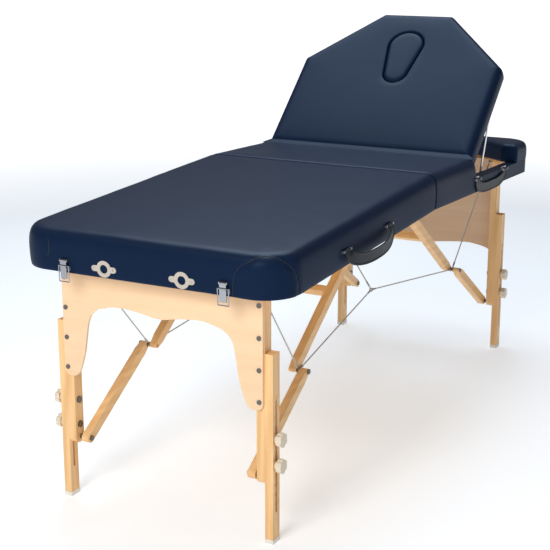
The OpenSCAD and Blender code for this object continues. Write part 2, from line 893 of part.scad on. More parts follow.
module backrest_board() {
    color("Tan") raised() {
        difference() {
            translate([0, 0, board_h]) linear_extrude(board_t) polygon(concat(
                [for (p = rounded(back_corners, back_radii, board_in, 6))
                    [max(p[0], crease_s + crease_leaf_out + crease_leaf_t), p[1]]]));
            breath_cut(board_h - over, board_top + over);
        }
        both_sides() prop_rack();
    }
}

module backrest_pad() {
    color("DarkSlateBlue") raised() difference() {
        cushion(back_corners, back_radii, board_top, pad_top, crown, crown_reach, 5, 0);
        breath_cut(board_top - over, pad_top + over);
    }
}

// Padded plug that closes the breath hole
module breath_plug() {
    color("DarkSlateBlue") raised() stacked([
        for (ring = concat(
            [[plug_gap, board_h], [plug_gap, pad_top - plug_edge]],
            [for (a = [30 : 30 : 90])
                [plug_gap + plug_edge * (1 - cos(a)), pad_top - plug_edge * (1 - sin(a))]],
            [[2 * plug_edge, pad_top + plug_rise / 2], [4 * plug_edge, pad_top + plug_rise]]))
        [for (p = egg(ring[0], 20)) [p[0], p[1], ring[1]]]]);
}

// Prop arm, from a rail to the rack under the board
module prop_arm(side) {
    color("Gainsboro") half(HEAD) to_side(side) {
        difference() {
            strut(prop_foot, prop_pin, arm_r, arm_y - arm_t, arm_y);
            translate([prop_foot[0], 0, prop_foot[1]])
                rod_y(prop_stud_r + fit, arm_y - 2 * arm_t, arm_y + arm_t);
        }
        translate([prop_pin[0], 0, prop_pin[1]])
            rod_y(prop_pin_r, rack_y - rack_w, arm_y - arm_t);
    }
}

module prop_arm_left() { prop_arm(LEFT); }
module prop_arm_right() { prop_arm(RIGHT); }

// Trestle ends, drawn upright

// Curve through points, with steps points to a span
function smooth(pts, steps) = [
    for (i = [0 : len(pts) - 2])
        let (a = pts[max(0, i - 1)], b = pts[i], c = pts[i + 1], d = pts[min(len(pts) - 1, i + 2)])
        for (k = [0 : steps - 1])
            let (t = k / steps)
            b + (c - a) * t / 2 + (2 * a - 5 * b + 4 * c - d) * t * t / 2
                + (3 * b - a - 3 * c + d) * t * t * t / 2];

function panel_edge(shares) = [
    for (p = smooth(shares, 3))
        [p[0] * panel_w / 2, panel_z + p[1] * (panel_top - panel_z)]];

module panel(end, shares) {
    edge = panel_edge(shares);
    n = len(edge);
    color("Peru") toward(end) difference() {
        translate([panel_x, 0, 0]) rotate([90, 0, 90]) linear_extrude(panel_t) polygon(concat(
            [for (p = edge) [p[0], max(p[1], panel_z)]],
            [for (k = [n - 1 : -1 : 0]) [-edge[k][0], max(edge[k][1], panel_z)]],
            [[-panel_w / 2, panel_top], [panel_w / 2, panel_top]]));
        both_sides() panel_screw_row(screw_shank_r + fit, over);
    }
}

module panel_screw_row(r, past) {
    for (k = [0 : screws - 1])
        translate([panel_x, (upper_in + upper_out) / 2, panel_z + screw_low + screw_pitch * k])
            rod_x(r, -screw_deep - past, panel_t + past);
}

module panel_foot() { panel(FOOT, foot_edge_shares); }
module panel_head() { panel(HEAD, head_edge_shares); }

module clamp_bolts(r, y0, y1) {
    for (z = [knob_z, knob_z - knob_pitch])
        translate([leg_x, 0, z]) rod_y(r, y0, y1);
}

module upper_legs(end) {
    color("SandyBrown") toward(end) both_sides() difference() {
        strut([leg_x, upper_bottom + leg_w / 2], [leg_x, pivot_z], leg_w / 2, upper_in, upper_out);
        translate([leg_x, 0, pivot_z]) rod_y(bolt_r + fit, upper_in - over, upper_out + over);
        translate([brace_x, 0, brace_z]) rod_y(bolt_r + fit, upper_in - over, upper_out + over);
        clamp_bolts(bolt_r + fit, upper_in - over, upper_out + over);
        panel_screw_row(screw_shank_r + fit, over);
    }
}

module upper_legs_foot() { upper_legs(FOOT); }
module upper_legs_head() { upper_legs(HEAD); }

// Every bolt and screw that a trestle end carries
module leg_bolts(end) {
    color("Silver") toward(end) both_sides() {
        clamp_bolts(bolt_r, upper_in - over, leg_out + bolt_proud);
        clamp_bolts(bolt_head_r, upper_in - bolt_head_t, upper_in);
        panel_screw_row(screw_shank_r, 0);
        translate([panel_t, 0, 0]) panel_screw_heads();
        translate([brace_x, 0, brace_z]) {
            rod_y(bolt_r, lower_brace_in - over, upper_out - clear);
            rod_y(spacer_r, lower_out + clear, upper_in - clear);
            rod_y(spacer_r, lower_brace_in - bolt_head_t, lower_brace_in - clear);
        }
    }
}

module panel_screw_heads() {
    for (k = [0 : screws - 1])
        translate([panel_x, (upper_in + upper_out) / 2, panel_z + screw_low + screw_pitch * k])
            rod_x(screw_r, 0, screw_t);
}

module leg_bolts_foot() { leg_bolts(FOOT); }
module leg_bolts_head() { leg_bolts(HEAD); }

module lower_braces(end) {
    color("Wheat") toward(end) both_sides() difference() {
        brace(brace_bolt, lower_brace_in, lower_out);
        for (p = [brace_bolt, knee])
            translate([p[0], 0, p[1]]) rod_y(bolt_r + fit, lower_brace_in - over, lower_out + over);
    }
}

module lower_braces_foot() { lower_braces(FOOT); }
module lower_braces_head() { lower_braces(HEAD); }

// Bolt through the knee of the lower brace; it stops short of the upper brace
module knee_bolts(end) {
    color("Silver") toward(end) both_sides() translate([knee[0], 0, knee[1]]) {
        rod_y(bolt_r, upper_brace_out + clear, lower_out + over);
        rod_y(spacer_r, lower_out + clear, lower_out + bolt_head_t);
        rod_y(spacer_r, upper_brace_out + clear, knee_side - eye_t / 2 - clear);
        rod_y(spacer_r, knee_side + eye_t / 2 + clear, lower_brace_in - clear);
    }
}

module knee_bolts_foot() { knee_bolts(FOOT); }
module knee_bolts_head() { knee_bolts(HEAD); }

module upper_braces(end) {
    color("Wheat") toward(end) both_sides() difference() {
        brace(brace_top_up, upper_brace_in, upper_brace_out);
        for (p = [brace_top_up, knee])
            translate([p[0], 0, p[1]])
                rod_y(bolt_r + fit, upper_brace_in - over, upper_brace_out + over);
    }
}

module upper_braces_foot() { upper_braces(FOOT); }
module upper_braces_head() { upper_braces(HEAD); }

module crossbar(end) {
    color("Wheat") toward(end) translate([knee[0], 0, knee[1]])
        rotate([0, -atan2(brace_top_up[1] - knee[1], brace_top_up[0] - knee[0]), 0])
            translate([crossbar_rise - crossbar_w / 2, -upper_brace_in, -crossbar_d / 2])
                cube([crossbar_w, 2 * upper_brace_in, crossbar_d]);
}

module crossbar_foot() { crossbar(FOOT); }
module crossbar_head() { crossbar(HEAD); }

// Lower legs, foot caps and knobs

module lower_leg(end, side) {
    seats = floor((slot_high - slot_low) / seat_pitch);
    color("BurlyWood") toward(end) to_side(side) difference() {
        translate([leg_x - leg_w / 2, lower_in, cap_floor])
            cube([leg_w, leg_t, lower_top - cap_floor]);
        translate([leg_x, 0, 0])
            strut([0, slot_low - clear], [0, slot_high + clear], slot_w / 2, lower_in - over, leg_out + over);
        for (k = [0 : seats])
            translate([leg_x, 0, knob_z - knob_pitch + seat_pitch * (k - floor(shorten / seat_pitch))])
                rod_y(seat_r, leg_out - seat_deep, leg_out + over);
    }
}

module lower_leg_foot_left() { lower_leg(FOOT, LEFT); }
module lower_leg_foot_right() { lower_leg(FOOT, RIGHT); }
module lower_leg_head_left() { lower_leg(HEAD, LEFT); }
module lower_leg_head_right() { lower_leg(HEAD, RIGHT); }

module foot_cap(end, side) {
    color("Ivory") toward(end) to_side(side) difference() {
        translate([leg_x - leg_w / 2 - cap_wall, lower_in - cap_wall, 0])
            cube([leg_w + 2 * cap_wall, leg_t + 2 * cap_wall, cap_h]);
        translate([leg_x - leg_w / 2, lower_in, cap_floor])
            cube([leg_w, leg_t, cap_h]);
    }
}

module foot_cap_foot_left() { foot_cap(FOOT, LEFT); }
module foot_cap_foot_right() { foot_cap(FOOT, RIGHT); }
module foot_cap_head_left() { foot_cap(HEAD, LEFT); }
module foot_cap_head_right() { foot_cap(HEAD, RIGHT); }

module knob(end, side, z) {
    color("Ivory") toward(end) to_side(side) translate([leg_x, leg_out + clear, z]) difference() {
        union() {
            rod_y(knob_hub_r, 0, knob_hub);
            difference() {
                rod_y(knob_r, knob_hub, knob_l);
                for (k = [0 : knob_lobes - 1])
                    rotate([0, 360 * k / knob_lobes, 0])
                        translate([knob_r + knob_cut_r - knob_cut_in, 0, 0])
                            rod_y(knob_cut_r, knob_hub - over, knob_l + over);
            }
        }
        rod_y(bolt_r + fit, -over, bolt_proud + over);
    }
}

module knob_foot_left_high() { knob(FOOT, LEFT, knob_z); }
module knob_foot_left_low() { knob(FOOT, LEFT, knob_z - knob_pitch); }
module knob_foot_right_high() { knob(FOOT, RIGHT, knob_z); }
module knob_foot_right_low() { knob(FOOT, RIGHT, knob_z - knob_pitch); }
module knob_head_left_high() { knob(HEAD, LEFT, knob_z); }
module knob_head_left_low() { knob(HEAD, LEFT, knob_z - knob_pitch); }
module knob_head_right_high() { knob(HEAD, RIGHT, knob_z); }
module knob_head_right_low() { knob(HEAD, RIGHT, knob_z - knob_pitch); }

// Cables

// Straight cable between two points, shortened by a gap at each end
module cable(a, b, gap0, gap1) {
    d = b - a;
    along = d / norm(d);
    translate(a + along * gap0)
        rotate([0, acos(along[2]), atan2(along[1], along[0])])
            cylinder(r = cable_r, h = norm(d) - gap0 - gap1);
}

module cable_eye(x, y, z, bore) {
    translate([x, 0, z]) difference() {
        rod_y(eye_r, y - eye_t / 2, y + eye_t / 2);
        rod_y(bore, y - eye_t, y + eye_t);
    }
}

// A cable from each leg pivot to the knee below it
module end_cables() {
    color("DimGray")
        for (end = [FOOT, HEAD])
            toward(end) both_sides() {
                cable([leg_x, pivot_side, pivot_z], [knee_x, knee_side, knee_z], eye_r, eye_r);
                cable_eye(leg_x, pivot_side, pivot_z, bolt_r + fit);
                cable_eye(knee_x, knee_side, knee_z, bolt_r + fit);
            }
}

// On each side, cables from both knees meet below the fold and run up to the fold hinge
module centre_cables() {
    color("DimGray") both_sides() {
        translate(junction) sphere(r = 2 * cable_r);
        cable(junction, fold_eye, 0, 0);
        for (end = [FOOT, HEAD])
            toward(end) cable(junction, [knee_x, knee_side, knee_z], 0, eye_r + clear);
    }
}

foot_frame();
foot_deck();
foot_pad();
foot_cover();
cradle_sockets();
fittings_foot();
foot_handle();
latch_lever_left();
latch_lever_right();
latch_bail_left();
latch_bail_right();
fold_leaf_foot();
fold_pin();
fold_leaf_head();
head_frame();
head_decks();
middle_pad();
corner_pads();
head_cover();
fittings_head();
head_handle();
crease_leaf_middle();
crease_leaf_back();
backrest_board();
backrest_pad();
breath_plug();
prop_arm_left();
prop_arm_right();
panel_foot();
upper_legs_foot();
leg_bolts_foot();
lower_braces_foot();
knee_bolts_foot();
upper_braces_foot();
crossbar_foot();
panel_head();
upper_legs_head();
leg_bolts_head();
lower_braces_head();
knee_bolts_head();
upper_braces_head();
crossbar_head();
lower_leg_foot_left();
lower_leg_foot_right();
lower_leg_head_left();
lower_leg_head_right();
foot_cap_foot_left();
foot_cap_foot_right();
foot_cap_head_left();
foot_cap_head_right();
knob_foot_left_high();
knob_foot_left_low();
knob_foot_right_high();
knob_foot_right_low();
knob_head_left_high();
knob_head_left_low();
knob_head_right_high();
knob_head_right_low();
end_cables();
centre_cables();
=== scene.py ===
import math
import bpy
import numpy as np
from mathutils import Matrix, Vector, noise


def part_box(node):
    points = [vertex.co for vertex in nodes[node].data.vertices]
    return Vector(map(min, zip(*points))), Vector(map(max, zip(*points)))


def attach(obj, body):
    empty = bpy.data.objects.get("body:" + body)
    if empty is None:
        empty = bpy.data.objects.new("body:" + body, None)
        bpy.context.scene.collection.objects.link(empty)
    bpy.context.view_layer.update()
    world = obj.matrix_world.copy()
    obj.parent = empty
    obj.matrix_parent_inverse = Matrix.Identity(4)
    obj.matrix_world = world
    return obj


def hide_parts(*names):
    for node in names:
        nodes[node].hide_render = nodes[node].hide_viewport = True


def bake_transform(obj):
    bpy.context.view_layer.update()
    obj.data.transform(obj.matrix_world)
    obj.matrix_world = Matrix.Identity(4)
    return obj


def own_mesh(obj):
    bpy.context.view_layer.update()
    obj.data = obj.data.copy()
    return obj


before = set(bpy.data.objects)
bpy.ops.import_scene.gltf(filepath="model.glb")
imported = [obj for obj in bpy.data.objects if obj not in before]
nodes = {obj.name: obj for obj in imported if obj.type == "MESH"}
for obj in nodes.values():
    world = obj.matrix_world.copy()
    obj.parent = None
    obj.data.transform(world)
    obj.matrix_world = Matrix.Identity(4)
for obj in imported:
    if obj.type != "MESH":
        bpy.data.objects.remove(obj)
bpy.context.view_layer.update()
print("frame loaded")

# Sizes that part.scad uses too, in millimetres and degrees
table = {
    "halfLength": 946, "width": 756, "foldHeight": 674, "camber": 2.2, "cornerRadius": 90,
    "deckTop": 54, "crease": 351, "creaseHeight": 104, "recline": 45, "boardTop": 59.2,
    "foldGap": 0.5, "creaseGap": 4.5,
}
camera = {
    "place": (-3.422, -1.652, 1.465), "yaw": 27.65, "pitch": -15.17, "focalPixels": 1289.4,
    "imagePixels": 550, "sensor": 36,
}
colours = {
    "vinyl": (0.0062, 0.0155, 0.043), "vinylDeep": (0.004, 0.010, 0.026),
    # The blue tint for the vinyl's shine is a painted reflection of a blue sky
    "vinylSkyReflectionTint": (0.34, 0.64, 1.0),
    "strap": (0.005, 0.008, 0.013), "strapPiping": (0.010, 0.014, 0.022), "seam": (0.007, 0.010, 0.020),
    "frameWood": ((0.80, 0.52, 0.25), (0.66, 0.38, 0.15)),
    "legWood": ((0.93, 0.60, 0.29), (0.76, 0.43, 0.17)),
    "panelWood": ((0.88, 0.63, 0.40), (0.80, 0.54, 0.31)),
    # The head panel's darker wood is painted shade for the shadow it sits in under the backrest
    "headPanelPaintedShadeWood": ((0.76, 0.53, 0.34), (0.68, 0.44, 0.26)),
    "deckWood": ((0.76, 0.58, 0.36), (0.62, 0.43, 0.22)),
    "cream": (0.83, 0.72, 0.56), "socket": (0.52, 0.47, 0.41), "cap": (0.86, 0.82, 0.74),
    "steel": (0.52, 0.51, 0.50), "screw": (0.17, 0.16, 0.15), "chrome": (0.38, 0.39, 0.42),
    "prop": (0.80, 0.79, 0.77),
    "cable": (0.62, 0.60, 0.55), "floor": (0.78, 0.80, 0.83),
}
lights = {
    "key": {"place": (-3.6, -0.2, 2.3), "size": 1.6, "watts": 78, "colour": (1.0, 0.97, 0.93)},
    "fill": {"place": (-1.0, -3.4, 1.5), "size": 2.0, "watts": 7, "colour": (1.0, 0.97, 0.93)},
    "top": {"place": (1.2, 0.8, 3.8), "size": 3.0, "watts": 92, "colour": (0.70, 0.85, 1.0)},
    "world": 0.16,
}
# The floor glows a little: less near the table, more far away
glow = {"near": 0.46, "far": 1.0, "from": 3.2, "to": 5.6}


# One output of a shader tree, with the arithmetic that shaders need
class Signal:
    def __init__(self, shader, socket):
        self.shader = shader
        self.socket = socket

    def combine(self, operation, other):
        return self.shader.node("ShaderNodeMath", {"operation": operation}, {0: self, 1: other})

    def __add__(self, other):
        return self.combine("ADD", other)

    def __mul__(self, other):
        return self.combine("MULTIPLY", other)


# A material whose nodes are added one at a time
class Shader:
    def __init__(self, name):
        self.material = bpy.data.materials.new(name)
        self.material.use_nodes = True
        self.tree = self.material.node_tree
        self.surface = self.tree.nodes["Principled BSDF"]

    def node(self, kind, settings=None, values=None, output=0):
        made = self.tree.nodes.new(kind)
        for name, value in (settings or {}).items():
            setattr(made, name, value)
        for name, value in (values or {}).items():
            self.put(made.inputs[name], value)
        return Signal(self, made.outputs[output])

    def put(self, socket, value):
        if isinstance(value, Signal):
            self.tree.links.new(value.socket, socket)
        elif socket.type == "RGBA":
            socket.default_value = (*value, 1)
        else:
            socket.default_value = value

    def set(self, **values):
        for name, value in values.items():
            self.put(self.surface.inputs[name.replace("_", " ")], value)
        return self

    def place(self, scale=(1, 1, 1), turn=(0, 0, 0)):
        spot = self.node("ShaderNodeTexCoord", output="Object")
        return self.node("ShaderNodeMapping", None, {"Vector": spot, "Scale": scale, "Rotation": turn})

    def noise(self, spot, scale, detail=3, roughness=0.5):
        return self.node("ShaderNodeTexNoise", None,
                         {"Vector": spot, "Scale": scale, "Detail": detail, "Roughness": roughness})

    def mix(self, share, first, second):
        return self.node("ShaderNodeMix", {"data_type": "RGBA"}, {0: share, 6: first, 7: second}, output=2)

    def spread(self, value, low, high, toLow=0, toHigh=1):
        return self.node("ShaderNodeMapRange", None, {
            "Value": value, "From Min": low, "From Max": high, "To Min": toLow, "To Max": toHigh})

    def bump(self, height, strength, distance):
        return self.node("ShaderNodeBump", None,
                         {"Height": height, "Strength": strength, "Distance": distance})


def vinylMaterial(name, colour, deep, gloss=0.40):
    s = Shader(name)
    spot = s.place()
    cloud = s.noise(spot, 3.2, 2)
    grain = s.node("ShaderNodeTexVoronoi", {"feature": "F1"}, {"Vector": spot, "Scale": 620})
    fine = s.noise(spot, 240, 3)
    shade = s.mix(s.spread(cloud, 0.3, 0.7), colour, tuple(0.86 * a + 0.14 * b for a, b in zip(colour, deep)))
    # Painted sheen: faces that look up at rest have a gloss coat, the sides have none, so the tops shine more
    # than the sides
    normal = s.node("ShaderNodeTexCoord", output="Normal")
    upSheenShare = s.node("ShaderNodeSeparateXYZ", None, {0: normal}, output=2)
    s.set(Base_Color=shade, Roughness=s.spread(cloud + fine * 0.25, 0.3, 0.9, gloss - 0.03, gloss + 0.07),
          Coat_Weight=s.spread(upSheenShare, 0.35, 0.95, 0, 0.46), Coat_Roughness=0.42, Coat_IOR=1.4,
          # The blue specular tint is a painted reflection of a blue sky
          Specular_IOR_Level=0.07, Specular_Tint=colours["vinylSkyReflectionTint"],
          Normal=s.bump(grain * 0.6 + fine * 0.5, 0.16, 0.0004))
    return s.material


# Wood with its grain along one axis, which may be tipped in the XZ plane
def woodMaterial(name, tones, axis, tip=0, streak=1.0):
    s = Shader(name)
    turn = (0, math.radians(tip), 0)
    along, across = 2.2, 26
    scale = tuple(along if i == axis else across for i in range(3))
    spot = s.place(scale, turn)
    wide = s.noise(spot, 1.0, 4, 0.55)
    wave = s.node("ShaderNodeTexWave", {"bands_direction": "DIAGONAL", "wave_profile": "SIN"}, {
        "Vector": spot, "Scale": 0.55, "Distortion": 7.0, "Detail": 2, "Detail Scale": 1.4})
    pores = s.noise(s.place(tuple(14 if i == axis else 900 for i in range(3)), turn), 1.0, 2)
    share = s.spread(wide * 0.62 + wave * 0.30 * streak, 0.22, 0.86)
    dark = s.spread(pores, 0.60, 0.78, 0, 0.22 * streak)
    tone = s.mix(share, tones[0], tones[1])
    s.set(Base_Color=s.mix(dark, tone, tuple(0.55 * c for c in tones[1])),
          Roughness=s.spread(wide, 0.2, 0.8, 0.42, 0.54), Coat_Weight=0.12, Coat_Roughness=0.3,
          Specular_IOR_Level=0.4, Normal=s.bump(pores, 0.10, 0.0003))
    return s.material


def plasticMaterial(name, colour):
    s = Shader(name)
    spot = s.place()
    mottle = s.noise(spot, 60, 2)
    s.set(Base_Color=s.mix(mottle, colour, tuple(0.9 * c for c in colour)), Roughness=0.46,
          Normal=s.bump(s.noise(spot, 900, 1), 0.05, 0.0002))
    return s.material


def metalMaterial(name, colour, roughness, fleck=0.15):
    s = Shader(name)
    spot = s.place()
    cloud = s.noise(spot, 90, 3)
    s.set(Base_Color=s.mix(cloud * fleck, colour, tuple(0.55 * c for c in colour)), Metallic=1.0,
          Roughness=s.spread(cloud, 0.2, 0.8, roughness - 0.04, roughness + 0.08))
    return s.material


def strapMaterial(name, colour):
    s = Shader(name)
    weave = s.node("ShaderNodeTexWave", {"bands_direction": "X"}, {
        "Vector": s.place(), "Scale": 420, "Distortion": 1.0})
    s.set(Base_Color=s.mix(weave * 0.4, colour, tuple(1.9 * c for c in colour)), Roughness=0.5,
          Normal=s.bump(weave, 0.25, 0.0004))
    return s.material


# Wire rope: dark and light strands along the cable
def cableMaterial(name, colour):
    s = Shader(name)
    strands = s.noise(s.place((900, 900, 900)), 1.0, 1)
    s.set(Base_Color=s.mix(strands, colour, tuple(0.65 * c for c in colour)), Metallic=0.35,
          Roughness=0.42, Normal=s.bump(strands, 0.5, 0.0003))
    return s.material


vinyl = vinylMaterial("vinyl", colours["vinyl"], colours["vinylDeep"])
sideVinyl = vinylMaterial("vinyl_side", colours["vinyl"], colours["vinylDeep"], 0.42)
strap = strapMaterial("strap", colours["strap"])
piping = strapMaterial("strap_piping", colours["strapPiping"])
seamVinyl = plasticMaterial("seam_vinyl", colours["seam"])
cream = plasticMaterial("cream_plastic", colours["cream"])
capPlastic = plasticMaterial("cap_plastic", colours["cap"])
steel = metalMaterial("steel", colours["steel"], 0.34)
chrome = metalMaterial("chrome", colours["chrome"], 0.14, 0.05)
cableSteel = cableMaterial("cable", colours["cable"])
grainTip = {"foot": 1, "head": -1}
woods = {
    "rails": woodMaterial("frame_wood", colours["frameWood"], 0),
    "deck": woodMaterial("deck_wood", colours["deckWood"], 0, 0, 0.6),
    "legs": woodMaterial("leg_wood", colours["legWood"], 2, 0, 1.3),
    "cross": woodMaterial("cross_wood", colours["legWood"], 1),
    "panel": woodMaterial("panel_wood", colours["panelWood"], 1, 0, 0.45),
}


def paint(names, material):
    for name in names:
        data = nodes[name].data
        data.materials.clear()
        data.materials.append(material)


def slopeOf(name):
    low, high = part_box(name)
    return math.degrees(math.atan2(high.z - low.z, high.x - low.x))


paint(["foot_frame", "head_frame"], woods["rails"])
paint(["foot_deck", "head_decks", "backrest_board"], woods["deck"])
paint(["panel_foot"], woods["panel"])
# Painted shade: the head panel gets a darker wood than the foot panel
paint(["panel_head"], woodMaterial("head_panel_wood_painted_shade", colours["headPanelPaintedShadeWood"], 1, 0, 0.7))
paint([n for n in nodes if n.startswith(("upper_legs", "lower_leg_"))], woods["legs"])
paint(["crossbar_foot", "crossbar_head"], woods["cross"])
for end, sense in grainTip.items():
    for kind, lean in (("upper_braces", 1), ("lower_braces", -1)):
        name = f"{kind}_{end}"
        tip = sense * lean * slopeOf(name)
        paint([name], woodMaterial("leg_wood_" + name, colours["legWood"], 0, -tip))
paint([n for n in nodes if n.startswith("knob")], cream)
paint(["cradle_sockets"], plasticMaterial("socket_plastic", colours["socket"]))
paint([n for n in nodes if n.startswith("foot_cap")], capPlastic)
paint(["foot_cover", "head_cover"], sideVinyl)
paint(["foot_handle", "head_handle"], strap)
paint([n for n in nodes if n.startswith(("latch_lever", "latch_bail"))], chrome)
paint([n for n in nodes if n.startswith((
    "fittings", "fold_", "crease_"))], steel)
paint([n for n in nodes if n.startswith(("leg_bolts", "knee_bolts"))],
      metalMaterial("screw", colours["screw"], 0.36))
paint([n for n in nodes if n.startswith("prop_arm")], metalMaterial("prop_steel", colours["prop"], 0.30))
print("materials done")

# Places in a half's own frame, as in part.scad
camber = math.radians(table["camber"])


def halfPoint(end, s, y, h):
    x = s * math.cos(camber) + h * math.sin(camber)
    z = table["foldHeight"] - s * math.sin(camber) + h * math.cos(camber)
    return Vector((end * x, y, z)) * 0.001


def raisedPoint(s, y, h):
    turn = math.radians(table["recline"])
    ds, dh = s - table["crease"], h - table["creaseHeight"]
    return halfPoint(1, table["crease"] + ds * math.cos(turn) - dh * math.sin(turn), y,
                     table["creaseHeight"] + ds * math.sin(turn) + dh * math.cos(turn))


def meshPiece(name, points, faces, material, smooth=True):
    data = bpy.data.meshes.new(name)
    data.from_pydata([tuple(p) for p in points], [], faces)
    data.validate()
    data.materials.append(material)
    piece = bpy.data.objects.new(name, data)
    bpy.context.scene.collection.objects.link(piece)
    if smooth:
        data.shade_smooth()
        data.set_sharp_from_angle(angle=math.radians(50))
    return piece


# Faces between rings of points, each ring closed on itself
def ringFaces(count, size, first=0, turned=False):
    faces = []
    for i in range(count - 1):
        for j in range(size):
            k = (j + 1) % size
            face = (first + i * size + j, first + i * size + k,
                    first + (i + 1) * size + k, first + (i + 1) * size + j)
            faces.append(face[::-1] if turned else face)
    return faces


def loft(name, rings, material, closed=False):
    size = len(rings[0])
    points = [p for ring in rings for p in ring]
    faces = ringFaces(len(rings), size)
    if closed:
        last = (len(rings) - 1) * size
        faces += [(last + j, last + (j + 1) % size, (j + 1) % size, j) for j in range(size)]
    else:
        for ring, order in ((0, -1), (len(rings) - 1, 1)):
            middle = sum((Vector(p) for p in rings[ring]), Vector()) / size
            points.append(middle)
            base = ring * size
            for j in range(size):
                face = (base + j, base + (j + 1) % size, len(points) - 1)
                faces.append(face[::order])
    return meshPiece(name, points, faces, material)


# Rounded convex outline, anticlockwise, with its corners' arcs and evenly split edges
def outline(corners, radii, inset, arcSteps, edgeSteps):
    points = []
    count = len(corners)
    corner = [Vector(c) for c in corners]
    arcs = []
    for i in range(count):
        e1 = (corner[i] - corner[i - 1]).normalized()
        e2 = (corner[(i + 1) % count] - corner[i]).normalized()
        n1, n2 = Vector((-e1.y, e1.x)), Vector((-e2.y, e2.x))
        radius = max(radii[i] - inset, 3)
        centre = corner[i] + (inset + radius) * (n1 + n2) / (1 + n1.dot(n2))
        start = math.atan2(n1.y, n1.x)
        turn = math.acos(min(1, n1.dot(n2)))
        arcs.append([centre - radius * Vector((math.cos(start + turn * k / arcSteps),
                                               math.sin(start + turn * k / arcSteps)))
                     for k in range(arcSteps + 1)])
    for i in range(count):
        points += arcs[i]
        here, there = arcs[i][-1], arcs[(i + 1) % count][0]
        steps = edgeSteps[i]
        points += [here.lerp(there, k / steps) for k in range(1, steps)]
    return points


def boxCorners(s0, s1, y):
    return [(s0, -y), (s1, -y), (s1, y), (s0, y)]


# Low waves of foam under taut vinyl, in millimetres
def wave(s, y, amount):
    broad, small = noise.noise(Vector((s, y, 7.0)) * 0.006), noise.noise(Vector((s, y, 3.0)) * 0.017)
    return amount * (broad + 0.4 * small)


# Section of an upholstered half: inset and height, from the underside round to the crown
skin = {
    "inner": 4, "wave": 1.1, "rings": 46, "tight": 0.4, "near": 60,
    "section": [(1.6, 2.3), (0.3, 3.4), (-0.9, 7), (-1.8, 16), (-2.4, 30), (-2.6, 44), (-2.4, 58),
                (-1.5, 70), (0.2, 80), (2.8, 88), (6.2, 94.5), (10.6, 99.6), (16, 103.4), (23, 106),
                (32, 107.6), (46, 108.4), (66, 109), (96, 109.4), (130, 109.7)],
}
# Patch over the right corner of the foot end: its seam by place round the outline and height
patch = {
    "seam": [(91.6, 2.6), (92.2, 24), (93.2, 50), (95.1, 71.7), (99.1, 90.6), (102.5, 99.5), (106, 104),
             (110, 103.5), (113.8, 98), (116.8, 86.1), (118.25, 65.8), (118.7, 40), (118.9, 20), (119, 2.6)],
    "otherSeam": [(155.2, 86), (155.0, 79), (154.9, 62), (155.0, 48), (155.3, 40)],
    "puff": 2.4, "soft": 14, "groove": 1.5, "width": 5, "radius": 0.9, "step": 5,
}


def ease(value):
    value = min(1, max(0, value))
    return value * value * (3 - 2 * value)


# Smooth curve through points of any dimension
def curve(points, steps):
    points = [np.array(p, dtype=float) for p in points]
    found = []
    for i in range(len(points) - 1):
        a, b, c, d = points[max(0, i - 1)], points[i], points[i + 1], points[min(len(points) - 1, i + 2)]
        for k in range(steps):
            u = k / steps
            found.append(b + (c - a) * u / 2 + (2 * a - 5 * b + 4 * c - d) * u * u / 2
                         + (3 * b - a - 3 * c + d) * u * u * u / 2)
    return found + [points[-1]]


# The section again, with its rings evenly spread
def evenSection(section, count):
    length = [0]
    for a, b in zip(section, section[1:]):
        length.append(length[-1] + min(math.dist(a, b), 12))
    spots = np.linspace(0, length[-1], count)
    return list(zip(np.interp(spots, length, [p[0] for p in section]).tolist(),
                    np.interp(spots, length, [p[1] for p in section]).tolist()))


# How far the patch stands out; along its seam the vinyl is drawn in
def patchRise(place, height):
    places, heights = zip(*patch["seam"])
    if not places[0] < place < places[-1]:
        return 0
    inside = min(float(np.interp(place, places, heights)) - height,
                 (place - places[0]) * patch["step"] + 3, (places[-1] - place) * patch["step"] + 3)
    groove = patch["groove"] * math.exp(-(inside / patch["width"]) ** 2)
    return patch["puff"] * ease(inside / patch["soft"]) - groove


def skinRings(s0, s1, radii, foldLimit, farLimit, arcSteps, edgeSteps, patched):
    corners = boxCorners(s0, s1, table["width"] / 2)
    section = [(skin["inner"], table["deckTop"] - 0.4), (skin["inner"], 2.3)]
    section += evenSection(skin["section"], skin["rings"])
    plain = outline(corners, radii, 0, arcSteps, edgeSteps)
    rings = []
    for inset, height in section:
        tight = outline(corners, radii, inset * (skin["tight"] if inset > 0 else 1), arcSteps, edgeSteps)
        ring = []
        for i, p in enumerate(outline(corners, radii, inset, arcSteps, edgeSteps)):
            # The edges at the fold and at the crease are rounded less than the outer ones
            near = 1 - ease((plain[i].x - s0) / skin["near"])
            if farLimit:
                near = max(near, 1 - ease((s1 - plain[i].x) / skin["near"]))
            s, y, h = p.x + (tight[i].x - p.x) * near, p.y, height
            if patched and inset < 60:
                rise, up = patchRise(i, height), ease((height - 88) / 18)
                ahead = (plain[(i + 1) % len(plain)] - plain[i - 1]).normalized()
                s += ahead.y * rise * (1 - up)
                y -= ahead.x * rise * (1 - up)
                h += rise * up
            s = max(s, s0)
            if farLimit:
                s = min(s, s1)
                if s > s1 - 3 and abs(y) < table["width"] / 2 - 2:
                    h = max(h, farLimit)
            if s < s0 + 3:
                h = max(h, foldLimit)
            s += math.tan(camber) * h * (s / s1 - 1)
            if height > 90:
                h += wave(s, y, skin["wave"] * min(1, (height - 90) / 16))
            ring.append((s, y, h))
        rings.append(ring)
    return section, rings


def skinPiece(name, end, rings):
    placed = [[halfPoint(end, *p) for p in ring] for ring in rings]
    return loft(name, [ring if end > 0 else ring[::-1] for ring in placed], vinyl)


